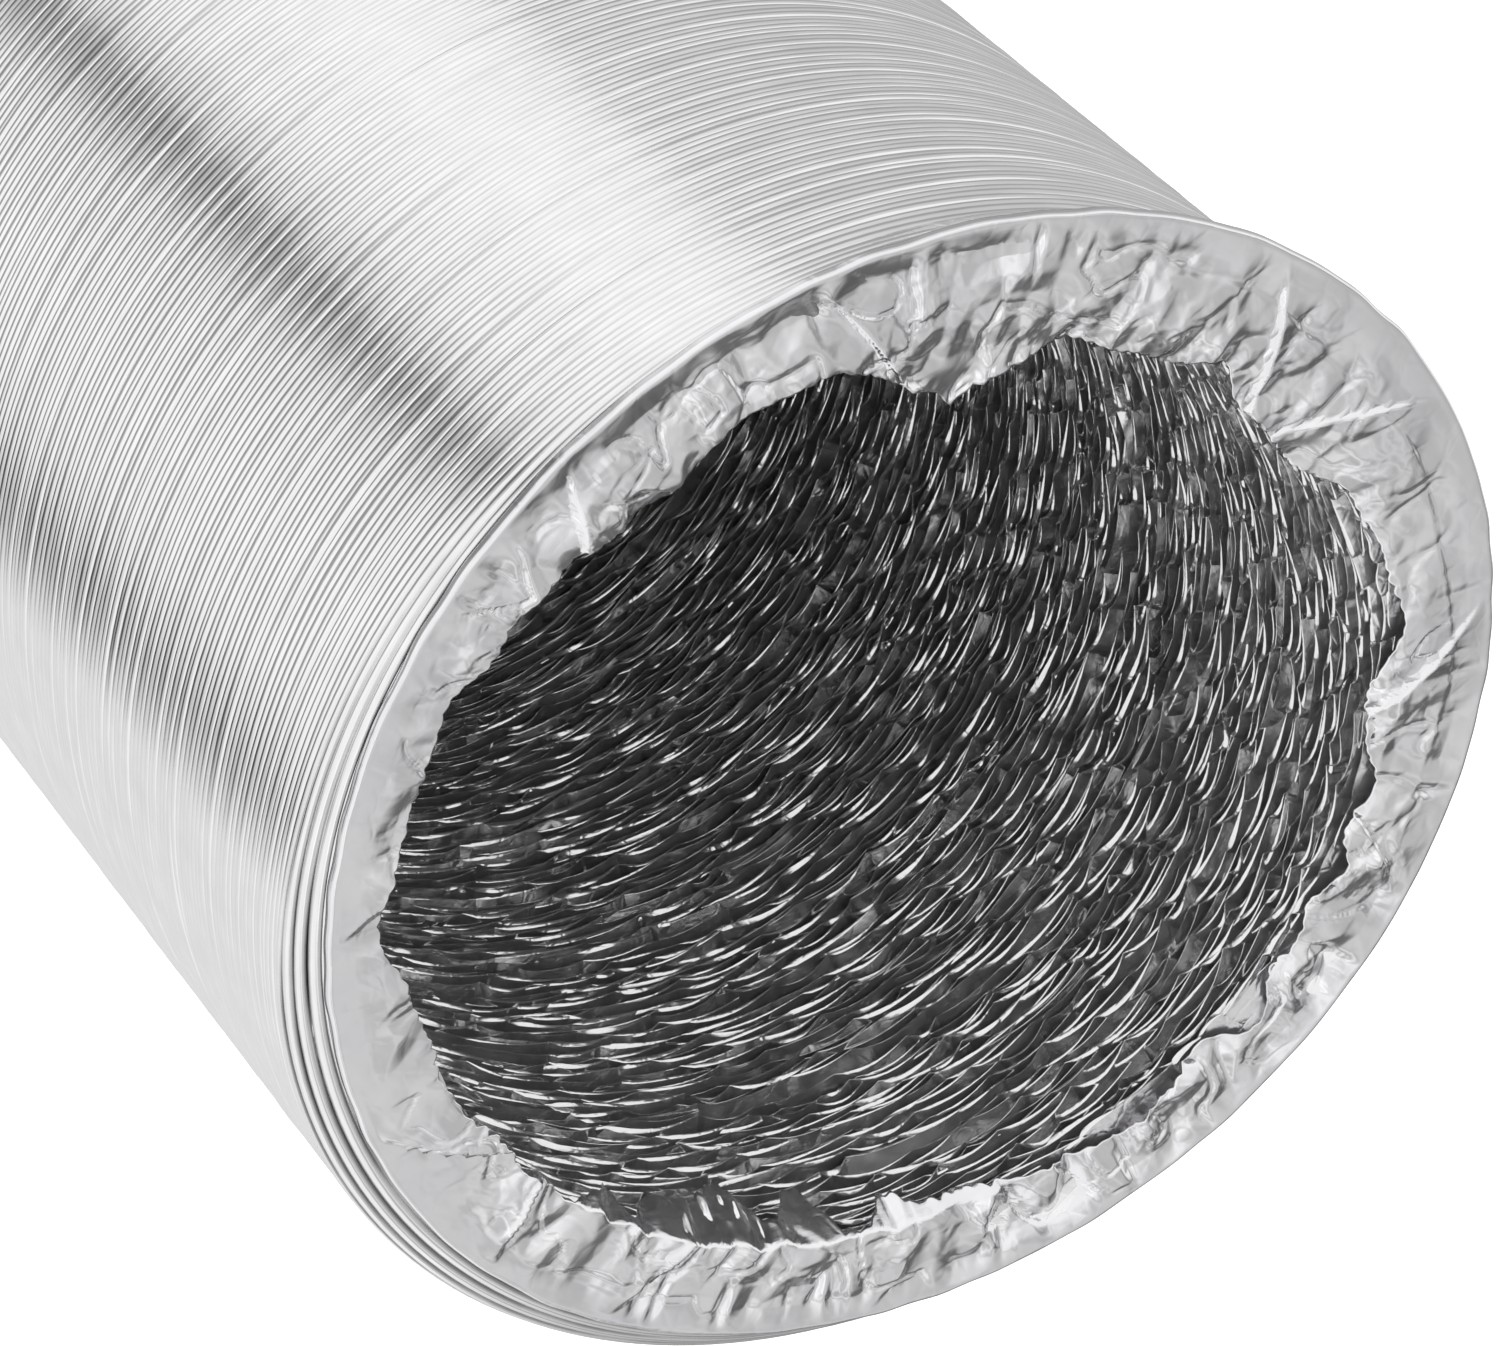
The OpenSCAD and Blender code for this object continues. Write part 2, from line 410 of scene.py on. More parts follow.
def outer_ply(k, columns=180):
    """Rows up over the ribs on the outside, then plain rows down behind the wire, and with them the
    painted shade of the slits at every point."""
    angle = ring(columns)
    turn = (k * TURNS + np.arange(TURNS)[:, None] + RIB_STEPS).ravel()
    turn = np.append(turn, k * TURNS + TURNS - 0.5)[:, None]
    step = np.append(np.tile(RIB_STEPS, TURNS), 0.5)[:, None]
    turn[0] += SECTION_GAP
    turn[-1] -= SECTION_GAP
    depth = waves(angle, np.round(turn + 0.5), 8, count=26, lobes=(0, 6), drift=(1, 3), size=0.12)
    bump = RIB_R + VALLEY_DEPTH * np.exp(depth) * rib_height(step)
    bump = bump - SLIT_DEPTH * slit_share(angle, turn) * (np.abs(step) == 0.5)
    line = place(angle, turn, 0.0)
    along = place(angle, turn + 0.05, 0.0) - place(angle, turn - 0.05, 0.0)
    out = np.stack([np.cos(angle), np.sin(angle), 0 * angle], -1)
    slope = (along * out).sum(-1) / np.maximum(along[..., 2], 1e-7)
    square = np.sqrt(1 + slope**2)
    outside = line + (bump / square)[..., None] * out
    outside[..., 2] -= bump * slope / square
    back_turn = np.linspace(turn[-1, 0], turn[0, 0], BACK_ROWS)[:, None]
    back = place(angle, back_turn, BEHIND_WIRE)
    # Painted shade of the slits: how black each point is, uneven along the rim and strongest in the
    # valleys
    uneven = 1 + waves(angle, turn, 27, count=10, lobes=(3, 24), drift=(1, 4), size=0.35)
    slit_shade = np.clip(1.3 * uneven * slit_share(angle, turn), 0, 1)
    slit_shade = slit_shade * np.interp(np.abs(step), *SLIT_SHADE_EDGE)
    return np.concatenate([outside, back]), np.concatenate([slit_shade, np.zeros((BACK_ROWS, columns))])


sleeves = []
valleys = np.arange(0, TURNS * len(RIB_STEPS) + 1, len(RIB_STEPS))
for k, n in enumerate(names):
    grid, slit_shade = outer_ply(k)
    sleeve = closed_skin(f"outer_sleeve_{n}", grid, outer_foil, valleys)
    # The painted shade of the slits goes on the skin as a point attribute
    sleeve.data.attributes.new("slit_shade", "FLOAT", "POINT").data.foreach_set("value", slit_shade.ravel())
    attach(sleeve, f"section_{n}")
    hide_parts(f"outer_ply_{n}")
    sleeves.append(sleeve)
print("outer ply:", sum(len(s.data.polygons) for s in sleeves) * 2, "triangles")

# %% [markdown]
# ## The pleated inner ply
# Between two turns the inner foil hangs into the duct as a pleat. Its edge has too much foil
# for the smaller circle there, so it buckles: it runs from one pinched point to the next in
# short bowed arcs, each wide at one end and pointed at the other like a sabre. Random bumps on
# a plain pleat would blur them, so the grid itself follows the buckles. Every pleat's edge is
# divided into cells with random ends, eight columns to a cell, and the pinched points always
# fall on a column. Some cells fold out into the light in bundles and the others stay back.
# From the edge the foil runs up two flanks to the wire.

# %% Random cells of the pleats' edges
CELLS = 54
CELL_COLUMNS = 8
PLEATS = LAST_TURN + 1
rng = np.random.default_rng(11)
table = (PLEATS, CELLS)
# The angle where each cell starts: shifted from pleat to pleat, jittered, and longer on one side
cell_shift = np.cumsum(rng.choice([0.1, 0.45], PLEATS, p=[0.7, 0.3]))
cell_ends = (np.arange(CELLS)[None, :] + cell_shift[:, None] % 1.0 - 0.5
             + rng.uniform(-0.3, 0.3, table)) * 2 * np.pi / CELLS
cell_ends = cell_ends + 0.35 * np.sin(cell_ends - 0.35)
# Which cells fold out: those where a slow wave and a random number together are high enough
bundle = waves(cell_ends, np.arange(PLEATS)[:, None], 22, count=40, lobes=(4, 26), drift=(0.1, 0.9),
               size=1.0)
folded_out = bundle + rng.normal(0, 0.5, table) > -0.45
# Pinched points: how far they sit up or down and out, and how far the edge bows up between them
pinch_z = rng.normal(-0.9, 0.6, table) * MM
pinch_r = rng.uniform(0.1, 1.1, table) * MM
bow = rng.uniform(1.2, 3.0, table) * MM
# A sabre: half its width, and the tilt of its flat in radians
leaf = np.where(folded_out, rng.uniform(0.15, 0.38, table), rng.uniform(0.03, 0.18, table)) * MM
tilt = np.where(folded_out, rng.uniform(0.55, 1.05, table), rng.uniform(-0.9, 0.3, table))
# The rows half way up the flanks: how far up or down, and how far out from the edge
flank_z = rng.normal(0, 0.4, table) * MM
flank_r = rng.uniform(3.0, 7.0, table) * MM
# Along a cell, from 0 to 1: the bow of its edge and the width of its sabre
SHARE = np.arange(CELL_COLUMNS) / CELL_COLUMNS
BOW = np.sin(np.pi * SHARE ** 0.8)
SABRE = np.clip(SHARE / 0.13, 0, 1) * (1 - SHARE) ** 0.8
print("cells:", folded_out.size, "of which", int(folded_out.sum()), "fold out")


# %% From cells to columns
def along_cells(start, end):
    """Values that run in a straight line from start to end over the columns of each cell."""
    return (start[..., None] * (1 - SHARE) + end[..., None] * SHARE).reshape(start.shape[0], -1)


def next_cell(values, jump=0.0):
    """The same values for the cell that follows, with jump added where the ring closes."""
    rolled = np.roll(values, -1, axis=1)
    rolled[:, -1] += jump
    return rolled


def between_pinches(values):
    """Values given at the pinched points, carried along the cells from one to the next."""
    return along_cells(values, next_cell(values))


def per_cell(values):
    """One value for all the columns of a cell."""
    return np.repeat(values, CELL_COLUMNS, axis=1)


print("columns round a pleat:", per_cell(leaf).shape[1])

# %% [markdown]
# ## The shape of one pleat
# The last pleats need two more rules. At one side they are drawn back behind the cuff's torn
# edge, and just under the cuff they have no room to bow up, so their heights are limited by
# the turns that are left above them.

# %% Inner ply of each section
# Radius of the pleats' edges, turns from a pleat's middle to the rows half way up its flanks, and
# how far the two sides of a sabre lie behind its crest
CREST_R = 86.2 * MM
FLANK_TURN = 0.18
LEAF_BACK = 0.12 * MM
# How far a section's foil reaches past its end turns, in turns, and where its back lies
END_TURN = 0.17
LINER_BACK = -0.58 * MM
# Where the last pleats are drawn back: middle and width in degrees, and how far, in mm
PULLED_BACK = [(-57, 20, 5.5), (-36, 11, 5.0)]


def edge_radius(pleat, angle, forward):
    """Radius of a pleat's edge from the wire's line: pleats that stay back are wider, and the last
    nine widen one after the other where they are drawn back."""
    r = CREST_R - WIRE_LINE + 1.1 * MM * (1 - forward)
    beside_rim = np.clip((pleat - LAST_TURN + 9) / 8, 0, 1)
    for middle, width, far in PULLED_BACK:
        r = r + beside_rim * far * MM * bell(angle, middle, width)
    return r


def inner_ply(k):
    """Plain rows up behind the pleats, then each pleat from its upper root in to its edge and back
    out to its lower root. Between two pinched points the edge is a sabre: it bows towards the open
    end, wide near one pinched point and pointed at the other, tilted by the cell's own angle."""
    own = k * TURNS + np.arange(TURNS - 1)
    pleat = own[:, None]
    even = ring(CELLS * CELL_COLUMNS)
    angle = along_cells(cell_ends[own], next_cell(cell_ends[own], 2 * np.pi))
    arc, sabre = np.tile(BOW, CELLS)[None, :], np.tile(SABRE, CELLS)[None, :]
    shift = waves(angle, pleat, 21, count=9, lobes=(3, 15), drift=(0, 0.5), size=1.5)
    forward = 0.5 + 0.5 * np.cos(np.pi * pleat + shift)
    strong = 0.7 + 0.3 * forward
    edge_r = edge_radius(pleat, angle, forward) + between_pinches(pinch_r[own]) * (1 - arc)
    flank = edge_r + between_pinches(flank_r[own])
    room = -1.8 * MM + 1.1 * PITCH * (LAST_TURN - 1 - pleat)
    edge_z = np.minimum(between_pinches(pinch_z[own]) + per_cell(bow[own]) * arc * strong, room)
    side_z = np.minimum(0.6 * edge_z + between_pinches(flank_z[own]), 0.7 * room)
    half = 0.05 * MM + 1.5 * per_cell(leaf[own]) * sabre * strong
    lift_r, lift_z = half * np.sin(per_cell(tilt[own])), half * np.cos(per_cell(tilt[own]))
    root = ROOT_R - WIRE_LINE
    first, last = k * TURNS - END_TURN, k * TURNS + TURNS - 1 + END_TURN
    rows = [place(even, np.linspace(first, last, 3)[:, None], LINER_BACK), place(even, last, root)]
    for t in range(TURNS - 2, -1, -1):
        pick = slice(t, t + 1)
        m, a, r, z = pleat[pick] + 0.5, angle[pick], edge_r[pick], edge_z[pick]
        rows += [
            place(even, m + 0.5, root),
            place(a, m + FLANK_TURN, flank[pick], side_z[pick]),
            place(a, m, r + LEAF_BACK + lift_r[pick], z + lift_z[pick]),
            place(a, m, r, z),
            place(a, m, r + LEAF_BACK - lift_r[pick], z - lift_z[pick]),
            place(a, m - FLANK_TURN, flank[pick], side_z[pick]),
        ]
    rows += [place(even, float(k * TURNS), root), place(even, first, root)]
    return np.concatenate(rows)


pleated = []
pleat_start = 4 + 6 * np.arange(TURNS - 1)
pinches = CELL_COLUMNS * np.arange(CELLS)
folds = np.concatenate([pleat_start + 1, pleat_start + 2, pleat_start + 4, pleat_start + 5])
for k, n in enumerate(names):
    ply = closed_skin(f"pleated_liner_{n}", inner_ply(k), inner_foil, folds, pinches)
    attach(ply, f"section_{n}")
    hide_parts(f"inner_ply_{n}")
    pleated.append(ply)
print("inner ply:", sum(len(p.data.polygons) for p in pleated) * 2, "triangles")

# %% [markdown]
# ## The free pleats between the sections
# Where two sections move apart, the foil between them opens. It is one sheet that starts under
# the last turn of a section, dips into the duct and comes back to the first turn of the next.

# %% Free pleats
# How far each root of the sheet lies from the turn of wire beside it, in turns
ROOT_TURN = 0.12


def free_pleat(k, columns=224, rows=10):
    """A thin closed sheet: rows in and out along a rounded dip, then the same rows back, one foil
    thickness further out. Every row is level, so that its share of the opening is the same all
    round and the two roots stay on their own sections; the crinkle only moves points in and out."""
    angle = ring(columns)
    share = np.linspace(0.0, 1.0, rows)[:, None]
    turn = k * TURNS + TURNS - 1 + ROOT_TURN + (1 - 2 * ROOT_TURN) * share
    dip = -0.75 * MM - 7.6 * MM * np.sin(np.pi * share) ** 0.8
    fine = waves(angle, 9 * share, 300 + k, count=40, lobes=(20, 110), drift=(0.0, 3.0),
                 size=0.33 * MM)
    broad = waves(angle, 9 * share, 330 + k, count=20, lobes=(5, 30), drift=(0.0, 0.8),
                  size=0.45 * MM)
    dip = dip + (fine + broad) * np.sin(np.pi * share)
    inside = place(angle, turn[::-1], dip[::-1])
    outside = place(angle, turn, dip + 0.10 * MM)
    sheet = np.concatenate([outside, inside])
    sheet[..., 2] = FIRST_TURN + PITCH * np.concatenate([turn, turn[::-1]])
    return sheet


free = []
for k, n in enumerate(names[:-1]):
    pleat = closed_skin(f"free_pleat_{n}", free_pleat(k), inner_foil)
    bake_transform(pleat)
    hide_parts(f"joint_pleat_{n}")
    free.append(pleat)
print("free pleats:", sum(len(p.data.polygons) for p in free) * 2, "triangles")

# %% [markdown]
# ## The end cuffs
# At each end the spare foil is folded over the last turn and in across the ends of the pleats,
# where it crumples and ends in a torn edge. Crumpled foil is made of flat facets between sharp
# folds, which a soft noise pattern can't give. A net of triangles with a random height at each
# knot does, and the lines where such a net crosses zero serve as creases. Coarse and fine nets
# together make panels, folds, creases and crinkles.

# %% A net of triangles as crumpled foil
# Rows of knots in a net, the row at the rim, and the radius at which a cell has its full width
KNOT_ROWS = 64
FIRST_ROW = 20
CUFF_MIDDLE = 95 * MM


def facets(u, v, seed, around):
    """Height of a net of triangles at u cells round the duct and v cells across it. A cell is cut
    along its diagonal, and a point takes the plane through the three knots of its triangle."""
    knots = np.random.default_rng(seed).normal(size=(KNOT_ROWS, around))
    u = u - 0.5 * v
    i, j = np.floor(u).astype(int), np.floor(v).astype(int)
    fu, fv = u - i, v - j

    def knot(right, up):
        return knots[(j + up) % KNOT_ROWS, (i + right) % around]

    near = knot(0, 0) * (1 - fu - fv) + knot(1, 0) * fu + knot(0, 1) * fv
    far = knot(1, 1) * (fu + fv - 1) + knot(0, 1) * (1 - fu) + knot(1, 0) * (1 - fv)
    return np.where(fu + fv < 1, near, far)


def crumple(angle, across, seed, width, length, high):
    """One net laid round the duct, bent by slow waves so that its triangles differ: width of a cell
    round the duct, length of a cell across, and the spread of the knots' heights."""
    around = int(round(2 * np.pi * CUFF_MIDDLE / width))
    bends = dict(count=12, lobes=(4, 40), drift=(0.5, 2.0), size=0.35)
    v = across / length
    u = angle / (2 * np.pi) * around + waves(angle, 0.6 * v, seed + 1, **bends)
    v = v + waves(angle, 0.6 * v, seed, **bends)
    return high * facets(u, v + FIRST_ROW, seed + 2, around)


def wrinkles(angle, across, seed, width, length, deep, sharp):
    """Flat foil cut by V-shaped creases along the lines where a net of triangles crosses zero."""
    net = crumple(angle, across, seed, width, length, high=1.0)
    return deep * (np.clip(np.abs(net) / sharp, 0, 1) - 1)


print("16 mm cells round a cuff:", round(2 * np.pi * CUFF_MIDDLE / (16 * MM)))

# %% [markdown]
# ## The torn edge and the laps
# The torn edge is a radius that changes with the angle: a few broad tongues and bites, then
# fine rags, and one small tab. The foil is also too long for the smaller circle that it is
# folded in to, so here and there it laps over itself: a slow rise along the rim that drops
# back at once.

# %% Torn edge and laps
TORN_R = 85.6 * MM
# Angle and half-width in degrees, and how much further in the foil reaches, in mm
TONGUES = [(-175, 17, 9.0), (-148, 8, 6.0), (-127, 11, 13.5), (-91, 4, 5.0), (-57, 20, -6.0),
           (-36, 11, -5.5), (-14, 10, -2.0), (32, 20, 4.0), (60, 6, 2.0), (82, 8, -3.5),
           (100, 5, -5.0), (140, 9, 4.0)]
TAB = (-126.5, 2.4, 3.2)
# Angle in degrees, slant in mm along the rim for each mm inwards, then height and width in mm
LAPS = [(-14, -1.1, 2.0, 13), (6, 0.35, 2.3, 9), (-38, 0.6, 1.2, 10), (22, -0.5, 1.6, 8),
        (-112, 0.5, 1.1, 8), (-86, -0.6, 1.2, 9), (150, 0.9, 1.2, 14), (176, -0.7, 0.9, 13),
        (118, -0.8, 1.0, 12), (-160, 0.6, 1.0, 11)]
# Radius of the ring that laps are measured along, and the way along it that one drops in, in mm
LAP_LINE, LAP_DROP = 88, 0.7


def torn_edge(angle):
    """Radius of the torn edge: bell-shaped tongues and bites on a plain radius, one pointed tab,
    and rags."""
    edge = TORN_R + 0 * angle
    for middle, width, depth in TONGUES:
        edge = edge - depth * MM * bell(angle, middle, width)
    off = np.abs(np.degrees(turned(angle, TAB[0])))
    edge = edge - TAB[2] * MM * np.clip(1 - off / TAB[1], 0, 1)
    rag = waves(angle, 0.0, 41, count=16, lobes=(12, 40), drift=(0, 1), size=0.7 * MM)
    fine = waves(angle, 0.0, 42, count=20, lobes=(50, 140), drift=(0, 1), size=0.35 * MM)
    return edge + rag - np.abs(fine)


def laps(angle, across):
    """Where the foil is folded over itself it rises slowly along the rim and drops back at once, as
    the teeth of a saw do; every fold runs slanting in from the rim."""
    height = 0 * angle + 0 * across
    for degrees, slant, high, wide in LAPS:
        along = LAP_LINE * turned(angle, degrees) + slant * (across / MM - 3)
        rise = np.clip(1 + along / wide, 0, 1) * np.clip(1 - along / LAP_DROP, 0, 1)
        height = height + high * MM * rise**1.5
    return height * np.clip(across / (9 * MM) - 0.2, 0, 1)


print("torn edge:", len(TONGUES), "tongues and bites,", len(LAPS), "laps")

# %% [markdown]
# ## The crumpled face
# From the rim to the torn edge the foil changes: gathered in puckers that point to the middle,
# then panels and folds, then fine crinkles in patches. Where it is pulled tight it stays
# nearly flat. At one side it steps down in a terrace, and at the bottom of the mouth it hangs
# in as a skirt. Each of these is a small function of the angle and of the distance in from
# the rim, and the height of the face is their sum.

# %% Forms of the face
FACE_WIDTH = 17 * MM
TERRACE_LINE, TERRACE_STEP = 8.5 * MM, 0.3 * MM
SKIRT_LINE, SKIRT_SLOPE = 17.3 * MM, 2.2


def panels_and_folds(angle, across, seed):
    """Broad flat panels and smaller folds from two nets, cut by creases."""
    panels = crumple(angle, across, seed, width=16 * MM, length=9 * MM, high=0.85 * MM)
    folds = crumple(-angle, across, seed + 5, width=6 * MM, length=4.5 * MM, high=0.28 * MM)
    return panels + folds + wrinkles(-angle, across, seed + 8, width=8 * MM, length=6 * MM,
                                     deep=0.5 * MM, sharp=0.28)


def crinkles(angle, across, seed):
    """Fine facets and creases in patches, coming in towards the torn edge."""
    share = across / FACE_WIDTH
    fine = (crumple(angle, across, seed + 10, width=2.6 * MM, length=2.4 * MM, high=0.22 * MM)
            + wrinkles(angle, across, seed + 12, width=3.2 * MM, length=2.8 * MM,
                       deep=0.32 * MM, sharp=0.4))
    patches = 0.5 + waves(angle, share, seed + 15, count=14, lobes=(3, 22), drift=(1, 4), size=0.9)
    return np.clip(1.6 * share - 0.4, 0, 1) * np.clip(patches, 0, 1) * fine


def gathers(angle, across, seed):
    """Long creases across the face, strongest near the rim and gone before the torn edge."""
    share = across / FACE_WIDTH
    puckers = wrinkles(angle, 0.15 * across, seed + 20, width=6.5 * MM, length=6 * MM,
                       deep=1.3 * MM, sharp=1.0)
    return np.clip(share / 0.25 - 0.2, 0, 1) * np.clip(1.6 - 2.0 * share, 0, 1) * puckers


def terrace(angle, across, seed):
    """A low step along the rim at one side, on a wavy line half way in."""
    wavy = waves(angle, 0.0, seed + 30, count=6, lobes=(3, 14), drift=(0, 1), size=0.9 * MM)
    past = np.clip((across - TERRACE_LINE - wavy) / (0.8 * MM), 0, 1)
    return TERRACE_STEP * bell(angle, 165, 45) * past


def skirt(angle, across, seed):
    """How far the foil falls into the mouth past a wavy line by its torn edge: a plain slope, steep
    at the bottom of the mouth and slight elsewhere."""
    hang = np.clip(1.5 * bell(angle, 32, 24), 0, 1)
    wavy = waves(angle, 0.0, seed + 40, count=14, lobes=(25, 110), drift=(0, 1), size=0.55 * MM)
    past = np.clip(across - SKIRT_LINE - wavy, 0, 6 * MM)
    return SKIRT_SLOPE * (0.1 + 0.9 * hang) * past


def crumpled_face(angle, across, seed):
    """Height of the folded foil at a distance in from the rim: the sum of all its forms, each
    weaker where the foil is tight, less a sag that grows towards the torn edge."""
    tight = np.clip(1.25 * bell(angle, -30, 48) + bell(angle, 172, 50), 0, 1)
    share = across / FACE_WIDTH
    loose = (np.clip(share / 0.3 - 0.25, 0, 1)
             * (1 - 0.8 * tight * np.clip(2 - across / (4.5 * MM), 0, 1)))
    sag = 1.0 * MM * np.clip(share - 0.15, 0, 2) ** 1.5
    return (loose * (1 - 0.5 * tight) * panels_and_folds(angle, across, seed)
            + (1 - 0.6 * tight) * crinkles(angle, across, seed)
            + (1 - 0.9 * tight) * gathers(angle, across, seed)
            + terrace(angle, across, seed) + laps(angle, across)
            - sag - skirt(angle, across, seed))


print("the face is", round(FACE_WIDTH / MM), "mm wide from the rim to the torn edge")

# %% Skin of a cuff
CUFF_EDGE = 103.35 * MM
EDGE_CURVE = 0.75 * MM
BAND = 1.5 * MM
CUFF_THICK = 0.2 * MM


def cuff_outside(angle, end, rows):
    """Radius and height of the outer side, measured from the end face: up the band, over the
    rounded edge and in to the torn edge."""
    rim_r = CUFF_EDGE - RIM_STEP * (end > 0)
    band = np.linspace(0, 1, 5)[:, None]
    bend = np.linspace(0, np.pi / 2, 7)[1:, None]
    face = np.linspace(0, 1, rows)[1:, None]
    r = np.concatenate([
        rim_r + 0 * band + 0 * angle,
        rim_r - EDGE_CURVE * (1 - np.cos(bend)) + 0 * angle,
        (rim_r - EDGE_CURVE) * (1 - face) + torn_edge(angle * end) * face,
    ])
    z = np.concatenate([
        -BAND * (1 - band) - EDGE_CURVE * band + 0 * angle,
        -EDGE_CURVE * (1 - np.sin(bend)) + 0 * angle,
        0 * face + 0 * angle,
    ])
    across = rim_r - r
    z = z + crumpled_face(angle * end, across, 50 + end) * (across > EDGE_CURVE)
    ripple = waves(angle, 0.0, 71, count=24, lobes=(14, 70), drift=(0, 1), size=0.10 * MM)
    return np.stack([r + ripple * np.clip(1 - across / (4 * MM), 0, 1), z], -1), across


def cuff(end, columns, rows=56):
    """Skin of one cuff: its outer side, then every seventh row of that back again one foil further
    in. end is 1 at the open end and -1 at the foot, where the same surface is turned over."""
    angle = ring(columns)
    rim = LAST_TURN if end > 0 else 0.0
    outside, across = cuff_outside(angle, end, rows)
    back = np.append(np.arange(len(outside) - 1, 12, -7), [9, 6, 3, 0])
    inside = outside[back].copy()
    inside[..., 1] -= CUFF_THICK * (across[back] > 0.3 * MM)
    inside[..., 0] -= CUFF_THICK * (across[back] <= 1.3 * MM)
    skin = np.concatenate([outside, inside])
    side = skin[..., 0] * np.cos(angle)
    z = LENGTH + skin[..., 1] + tip(rim) * side if end > 0 else -skin[..., 1]
    points = np.stack([lean(rim) + side, skin[..., 0] * np.sin(angle), z], -1)
    return points if end > 0 else points[::-1]


cuffs = []
for end, node, body, columns in ((1, "front_cuff", "section_12", 1240),
                                 (-1, "rear_cuff", "section_01", 700)):
    piece = closed_skin(f"folded_{node}", cuff(end, columns), cuff_foil)
    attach(piece, body)
    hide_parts(node)
    cuffs.append(piece)
print("cuffs:", sum(len(c.data.polygons) for c in cuffs) * 2, "triangles")

# %% [markdown]
# ## Camera
# The camera looks down into the open end from above its rim, half way between a side view and
# a view along the axis, and it is rolled so that the tube runs from the upper left to the
# lower right. A long lens from 0.9 m keeps the tube's sides nearly parallel.

# %% Place the camera
# The view's own directions: to its right, down and into it
right = Vector((-0.72958, 0.49396, 0.47299))
down = Vector((0.68374, 0.54181, 0.48881))
forward = Vector((-0.01482, 0.68003, -0.73303))
camera = bpy.data.objects.new("camera", bpy.data.cameras.new("camera"))
camera.data.sensor_width = 36.0
camera.data.lens = 137.9
camera.data.clip_start = 0.05
camera.data.clip_end = 20.0
aimed = Matrix((right, -down, -forward)).transposed().to_4x4()
camera.matrix_world = Matrix.Translation((0.0144, -0.6321, LENGTH + 0.6309)) @ aimed
bpy.context.scene.collection.objects.link(camera)
bpy.context.scene.camera = camera
print("camera at", [round(v, 3) for v in camera.location])

# %% [markdown]
# ## Light, floor and backdrop
# Metal has no colour of its own to show: a bright rib is a rib that mirrors something bright.
# So the studio round the duct matters as much as the duct. A surface that faces half way
# between the camera and a point of the world mirrors that point, so the world is set out by
# that half-way direction, and every stop in the tables below is simply a way that foil can
# face. Lamps could give the same light, but a table of greys is easier to shape. The camera
# itself sees white.

# %% Grey levels of the studio
# Ribs: the compass direction that a rib faces in degrees, then the grey that its upper and its
# lower flank mirror. Two narrow dark gaps lie between the soft boxes.
STUDIO = [(-180, 0.62, 0.50), (-155, 0.62, 0.45), (-133, 0.63, 0.38), (-127, 0.70, 0.40),
          (-121, 0.77, 0.40), (-116, 0.86, 0.46), (-113, 0.98, 0.70), (-109, 1.04, 0.85),
          (-103, 1.06, 0.88), (-97, 1.05, 0.70), (-92, 1.03, 0.55), (-87.7, 0.84, 0.28),
          (-85.3, 0.50, 0.14), (-83.7, 0.50, 0.14), (-78.8, 0.92, 0.28), (-75, 1.00, 0.33),
          (-66.8, 1.06, 0.38), (-60.8, 1.03, 0.34), (-57, 0.98, 0.28), (-54.5, 0.92, 0.18),
          (-51.8, 0.78, 0.09), (-48.8, 0.60, 0.07), (-45.8, 0.68, 0.14), (-42.8, 0.78, 0.45),
          (-40, 0.82, 0.76), (-13, 0.82, 0.79), (30, 0.75, 0.60), (150, 0.65, 0.50)]
# Foil between upright and level: the y of its facing (above 0 is away from the camera) and a grey
STEEPLY_TIPPED = [(-1.0, 1.0), (0.05, 0.95), (0.35, 0.35), (1.0, 0.30)]
# Nearly level foil: the y and the x of its facing, each with a grey, and the two are multiplied
TIPPED_AWAY = [(-0.60, 0.96), (-0.26, 0.86), (-0.15, 0.65), (-0.04, 0.60), (0.06, 0.60),
               (0.14, 0.40), (0.22, 0.14), (0.32, 0.12), (0.42, 0.50), (0.60, 0.30)]
TIPPED_SIDEWAYS = [(-0.50, 0.85), (-0.34, 0.45), (-0.24, 0.95), (-0.10, 0.84), (0.10, 1.14),
                   (0.20, 0.85), (0.30, 1.45), (0.42, 0.60), (0.60, 1.0)]
# Height of the facing where one set of greys gives way to the next, from and to
UPPER_FLANK = (0.08, 0.42)
STEEP = (0.52, 0.64)
LEVEL = (0.84, 0.93)
TO_CAMERA = -forward
print("directions round the duct:", len(STUDIO))


# %% Build the world
def grey_ramp(tree, value, stops):
    """Colour ramp over a value from -1 to 1 through the given (value, grey level) stops."""
    scale = new_node(tree, "ShaderNodeMapRange", {"From Min": -1.0})
    ramp = new_node(tree, "ShaderNodeValToRGB")
    elements = ramp.color_ramp.elements
    elements.remove(elements[1])
    for i, (at, grey) in enumerate(stops):
        stop = elements[0] if i == 0 else elements.new((at + 1) / 2)
        stop.position = (at + 1) / 2
        stop.color = (grey, grey, grey, 1)
    link(tree, value, scale.inputs["Value"])
    link(tree, scale.outputs["Result"], ramp.inputs["Fac"])
    return ramp.outputs["Color"]


def ceiling_pattern(tree, facing):
    """Grey levels overhead: the one for how far nearly level foil is tipped away from the camera,
    multiplied by the one for how far it is tipped sideways."""
    mix = new_node(tree, "ShaderNodeMix", {"Factor": 1.0}, data_type="RGBA", blend_type="MULTIPLY")
    link(tree, grey_ramp(tree, facing.outputs["Y"], TIPPED_AWAY), mix.inputs[COLOUR_A])
    link(tree, grey_ramp(tree, facing.outputs["X"], TIPPED_SIDEWAYS), mix.inputs[COLOUR_B])
    return mix.outputs[MIXED]


